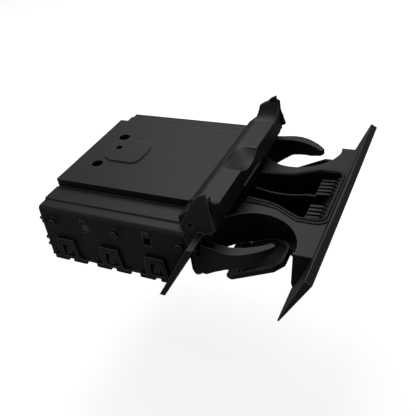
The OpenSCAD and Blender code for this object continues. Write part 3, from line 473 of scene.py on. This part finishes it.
def tray_outline(inset):
    """Right half of the tray's plan from the neck to the middle of its front, moved inwards by inset."""
    flare, shoulder = 0.002, 0.006
    turn = np.radians(np.linspace(0, -90, 7))
    corner = TRAY_CORNER_R - inset
    centre = (TRAY_HALF_W - TRAY_CORNER_R, TRAY_FRONT_Y + TRAY_CORNER_R)
    side = [
        (TRAY_NECK_W - inset, TRAY_LIP_END_Y),
        (TRAY_NECK_W + flare - inset, TRAY_FLARE_Y),
        (TRAY_HALF_W - shoulder - inset, TRAY_SHOULDER_Y),
        (TRAY_HALF_W - inset, TRAY_SLOPE_Y),
    ]
    return side + [(centre[0] + corner * np.cos(a), centre[1] + corner * np.sin(a)) for a in turn]


def tray_bead(made):
    """A bead sunk to its middle in the tray's rim, round its sides and front."""
    half = tray_outline(TRAY_BEAD_INSET)
    plan = half + [(-x, y) for x, y in reversed(half)]
    path = smoothed([(x, y, TRAY_RIM_Z) for x, y in plan], 0.0012)
    add_bead("tray_bead", path, 0.0013, "drawer", made)


def tray_lips(made):
    """Knurled lips: a bead whose radius is r (1 + share cos(2 pi s / pitch)) along its length s, drawn
    in to a rounded start, leaning out by toe_out on the way and a little flattened."""
    pitch, radius, share = 0.0021, 0.0019, 0.14
    step, toe_out, start_length, thinnest, flatness = 0.0003, 0.003, 0.003, 0.05, 0.8
    y = np.arange(TRAY_LIP_START_Y, TRAY_LIP_END_Y, -step)
    run = TRAY_LIP_START_Y - y
    lean = (TRAY_NECK_W - TRAY_BEAD_INSET - toe_out) + toe_out * run / run[-1]
    swell = radius * (1 + share * np.cos(2 * np.pi * run / pitch))
    swell *= np.sqrt(np.clip(run / start_length, thinnest, 1))
    across, up = ring_points(12).T
    for sign, hand in ((-1, "left"), (1, "right")):
        grid = np.stack([
            sign * lean[:, None] + swell[:, None] * across,
            np.broadcast_to(y[:, None], (len(y), len(across))),
            TRAY_RIM_Z + swell[:, None] * up * flatness,
        ], -1)
        add_solid(hand + "_tray_lip", grid, "drawer", made)


def tray_fins(made):
    """Level-topped fins that stand on the tray's sloping front, five on each side."""
    first_x, margin, packing, half_t = 0.007, 0.012, 0.92, 0.0015
    for sign, hand in ((-1, "left"), (1, "right")):
        for i in range(TRAY_RIBS):
            x = sign * (first_x + (TRAY_HALF_W - margin) / TRAY_RIBS * (i + 0.5) * packing)
            fin = prism(f"{hand}_tray_fin_{i + 1}", FIN_OUTLINE, "x", x - half_t, x + half_t)
            add_piece(fin, "drawer", made)


def rail_rim(made):
    """A thin straight bead along the rail's rear top edge."""
    radius, sunk, count = 0.0007, 0.0003, 60
    x = np.linspace(-RAIL_HALF_W, RAIL_HALF_W, count)
    path = np.stack([x, np.full(count, RAIL_BACK_Y - radius), np.full(count, RAIL_TOP_Z - sunk)], 1)
    add_bead("rail_rear_rim", path, radius, "housing", made)


def saddle_floor(made):
    """The saddle's floor, deepest at the front and level with the rim at the rear: its height is the arc
    top - depth + r - sqrt(r^2 - x^2), raised on the way back to the rail's top."""
    lift, thickness, curl = 0.0001, 0.0008, 1.5
    radius = (SADDLE_HALF_W ** 2 + SADDLE_DEPTH ** 2) / (2 * SADDLE_DEPTH)
    x = np.linspace(-SADDLE_HALF_W, SADDLE_HALF_W, 41)
    arc = RAIL_TOP_Z - SADDLE_DEPTH + radius - np.sqrt(radius ** 2 - x ** 2)
    back = np.linspace(0, 1, 12)
    grid = np.zeros((len(x), len(back) + 2, 3))
    grid[:, :, 0] = x[:, None]
    grid[:, :-2, 1] = RAIL_FRONT_Y + (RAIL_BACK_Y - RAIL_FRONT_Y) * back
    grid[:, :-2, 2] = arc[:, None] + (RAIL_TOP_Z - arc)[:, None] * back ** curl + lift
    grid[:, -2, 1:] = (SADDLE_KEEL_Y, SADDLE_KEEL_Z)
    grid[:, -1, 1] = RAIL_FRONT_Y
    grid[:, -1, 2] = arc - thickness
    add_solid("saddle_floor", grid, "housing", made, crease=SADDLE_CREASE)


def ear_webs(made):
    """The rail's end swept up to each ear: between a rear and a front rim the top is hollowed along
    z = top + R - sqrt(R^2 - (x - start)^2), the circle that the rail's own end follows."""
    lift, rim_sharpness = 0.00015, 6
    x = EAR_START_X + EAR_REACH * np.linspace(0, 1, 25)
    drop = np.sqrt(np.maximum(EAR_SWEEP_R ** 2 - (x - EAR_START_X) ** 2, 0))
    hollow = RAIL_TOP_Z + lift + EAR_SWEEP_R - drop
    rise = at_stations(x, EAR_RIM_RISE)
    rear_y = at_stations(x, EAR_REAR_Y)
    front_y = at_stations(x, EAR_FRONT_Y)
    foot = at_stations(x, EAR_FOOT_Z)
    across = np.linspace(0, 1, 13)
    bowl = np.abs(2 * across - 1) ** rim_sharpness
    for sign, hand in ((-1, "left"), (1, "right")):
        grid = np.zeros((len(x), len(across) + 2, 3))
        grid[:, :, 0] = sign * x[:, None]
        grid[:, :-2, 1] = rear_y[:, None] + (front_y - rear_y)[:, None] * across
        grid[:, :-2, 2] = hollow[:, None] + rise[:, None] * bowl
        grid[:, -2, 1], grid[:, -2, 2] = front_y, foot
        grid[:, -1, 1], grid[:, -1, 2] = rear_y, foot
        add_solid(hand + "_ear_web", grid, "housing", made, crease=CREASE)


def ear_gap_shadow_strips(made):
    """A thin dark strip, painted shadow, laid where the narrow gap between each ear's front web and its
    leaning plate falls in shade.
    """
    outline = np.array(EAR_GAP_SHADOW_OUTLINE)
    for sign, hand in ((-1, "left"), (1, "right")):
        slot = prism(hand + "_ear_slot_shadow", outline * (sign, 1), "y", EAR_GAP_SHADOW_FRONT_Y, EAR_GAP_SHADOW_REAR_Y)
        add_piece(slot, "housing", made)


def sleeve(name, plan, centre, inner, outer, made):
    """An upright tube under the top face: its plan at two sizes about a centre."""
    corners = [(inner, SLEEVE_TOP_Z), (inner, SLEEVE_FOOT_Z), (outer, SLEEVE_FOOT_Z), (outer, SLEEVE_TOP_Z)]
    rows = [np.column_stack([plan * size + centre, np.full(len(plan), z)]) for size, z in corners]
    add_solid(name, np.stack(rows), "housing", made, ring=True, crease=CREASE)


def hole_collars(made):
    """Sleeves under the two fixing holes and the square hole, so that each looks into a dark well; they
    take the darker well colour, which is painted shade.
    """
    round_wall, square_wall = 0.0009, 0.001
    ring = ring_points(48)
    for sign, hand in ((-1, "left"), (1, "right")):
        centre = (sign * FIXING_X, 0)
        sleeve(hand + "_hole_sleeve", ring, centre, FIXING_SLEEVE_R, FIXING_SLEEVE_R + round_wall, made)
    square = np.array([(-1.0, -1.0), (1.0, -1.0), (1.0, 1.0), (-1.0, 1.0)])
    outer = SQUARE_SLEEVE_HALF + square_wall
    sleeve("square_hole_sleeve", square, SQUARE_HOLE_AT, SQUARE_SLEEVE_HALF, outer, made)


# Light and floor

def studio_world():
    """A backdrop that the camera sees as white, and that lights the part weakly and evenly."""
    world = bpy.data.worlds.new("studio_world")
    bpy.context.scene.world = world
    world.use_nodes = True
    tree = world.node_tree
    tree.nodes.clear()
    output = tree.nodes.new("ShaderNodeOutputWorld")
    mix = tree.nodes.new("ShaderNodeMixShader")
    seen = tree.nodes.new("ShaderNodeBackground")
    lit = tree.nodes.new("ShaderNodeBackground")
    rays = tree.nodes.new("ShaderNodeLightPath")
    seen.inputs["Color"].default_value = (1, 1, 1, 1)
    seen.inputs["Strength"].default_value = 1.0
    lit.inputs["Color"].default_value = (0.93, 0.96, 1.0, 1)
    lit.inputs["Strength"].default_value = SKY_STRENGTH
    tree.links.new(rays.outputs["Is Camera Ray"], mix.inputs["Fac"])
    tree.links.new(lit.outputs["Background"], mix.inputs[1])
    tree.links.new(seen.outputs["Background"], mix.inputs[2])
    tree.links.new(mix.outputs["Shader"], output.inputs["Surface"])


def pale_floor_material():
    """Matt and nearly white to the camera, and a dim matt grey to the light that falls back on the part."""
    made = bpy.data.materials.new("pale_floor")
    made.use_nodes = True
    tree = made.node_tree
    tree.nodes.clear()
    output = tree.nodes.new("ShaderNodeOutputMaterial")
    matt = tree.nodes.new("ShaderNodeBsdfDiffuse")
    matt.inputs["Color"].default_value = (0.86, 0.86, 0.86, 1)
    glow = tree.nodes.new("ShaderNodeEmission")
    glow.inputs["Color"].default_value = (1, 1, 1, 1)
    glow.inputs["Strength"].default_value = 0.8
    dim = tree.nodes.new("ShaderNodeBsdfDiffuse")
    dim.inputs["Color"].default_value = (0.3, 0.3, 0.3, 1)
    add = tree.nodes.new("ShaderNodeAddShader")
    mix = tree.nodes.new("ShaderNodeMixShader")
    rays = tree.nodes.new("ShaderNodeLightPath")
    tree.links.new(matt.outputs["BSDF"], add.inputs[0])
    tree.links.new(glow.outputs["Emission"], add.inputs[1])
    tree.links.new(rays.outputs["Is Camera Ray"], mix.inputs["Fac"])
    tree.links.new(dim.outputs["BSDF"], mix.inputs[1])
    tree.links.new(add.outputs["Shader"], mix.inputs[2])
    tree.links.new(mix.outputs["Shader"], output.inputs["Surface"])
    return made


def pale_floor():
    """A level round sheet below the part."""
    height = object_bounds()[0][2] - FLOOR_DROP
    rim = ring_points(64) * FLOOR_RADIUS
    points = np.column_stack([rim, np.full(len(rim), height)])
    mesh = bpy.data.meshes.new("pale_floor")
    mesh.from_pydata(points.tolist(), [], [list(range(len(rim)))])
    floor = bpy.data.objects.new("pale_floor", mesh)
    bpy.context.scene.collection.objects.link(floor)
    floor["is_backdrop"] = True
    mesh.materials.append(pale_floor_material())


def lamp(name, place, target, size, watts):
    """A flat rectangular lamp that faces its target."""
    data = bpy.data.lights.new(name, "AREA")
    data.shape = "RECTANGLE"
    data.size, data.size_y = size
    data.energy = watts
    thing = bpy.data.objects.new(name, data)
    bpy.context.scene.collection.objects.link(thing)
    away = np.asarray(place, float) - np.asarray(target, float)
    away /= np.linalg.norm(away)
    side = np.cross((0.0, 1.0, 0.01), away)
    side /= np.linalg.norm(side)
    up = np.cross(away, side)
    turn = Matrix([[side[i], up[i], away[i]] for i in range(3)])
    thing.matrix_world = Matrix.Translation(place) @ turn.to_4x4()


def studio():
    """White backdrop and floor, a broad lamp high over the far side, and weak ones ahead and near."""
    bpy.context.scene.view_settings.view_transform = "Standard"
    studio_world()
    pale_floor()
    for name, settings in LAMPS.items():
        lamp(name, *settings)


place_camera()

black = moulded_plastic(
    "black_moulding", BLACK, roughness=0.5, grain=0.35, painted_edge_highlight=0.9, specular=0.4)
fascia_black = moulded_plastic(
    "fascia_moulding", FASCIA_BLACK, roughness=0.42, grain=0.3, painted_edge_highlight=0.9, specular=0.4)
well_shade_black = moulded_plastic(
    "tray_moulding_painted_shade", WELL_SHADE_BLACK, roughness=0.5, grain=0.35, painted_edge_highlight=0.2, specular=0.35)
gap_shadow_black = moulded_plastic(
    "gap_shadow", GAP_SHADOW_BLACK, roughness=0.8, grain=0.1, painted_edge_highlight=0.0, specular=0.1)
pale = moulded_plastic(
    "pale_moulding", PALE, roughness=0.4, grain=0.12, painted_edge_highlight=0.1, specular=0.5)
bright_steel = spring_steel("bright_steel", STEEL, roughness=0.28)

dress(["housing_cover", "housing_floor", "mounting_bezel", "drawer_body", "left_arm", "right_arm",
       "left_cup_floor", "right_cup_floor"], black)
dress(["fascia_panel"], fascia_black)
# The darker well colour on these parts is painted shade
dress(["tray_insert", "damper_body", "latch_body"], well_shade_black)
dress(["guide_rails", "glide_shoes", "damper_rack", "damper_pinion", "latch_plunger"], pale)
dress(["bezel_screws", "fascia_screws", "damper_screws", "latch_striker", "latch_spring", "spring_axle",
       "spring_band", "spring_anchor", "spring_roll"], bright_steel)

for hand in ("left", "right"):
    steel_parts = ("arm_pin", "floor_pin", "arm_spring", "floor_spring")
    dress([f"{hand}_{part}" for part in steel_parts], bright_steel)
    wound_spring(hand + "_arm_spring", "drawer", bright_steel, **ARM_SPRING)
    wound_spring(hand + "_floor_spring", "drawer", bright_steel, **FLOOR_SPRING)
latch_coil = wound_spring("latch_spring", "housing", bright_steel, **LATCH_SPRING)
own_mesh(latch_coil)
spiral_roll("spring_roll", bright_steel)

tray_bead(black)
tray_lips(black)
tray_fins(black)
rail_rim(black)
saddle_floor(black)
ear_webs(black)
ear_gap_shadow_strips(gap_shadow_black)
hole_collars(well_shade_black)

studio()
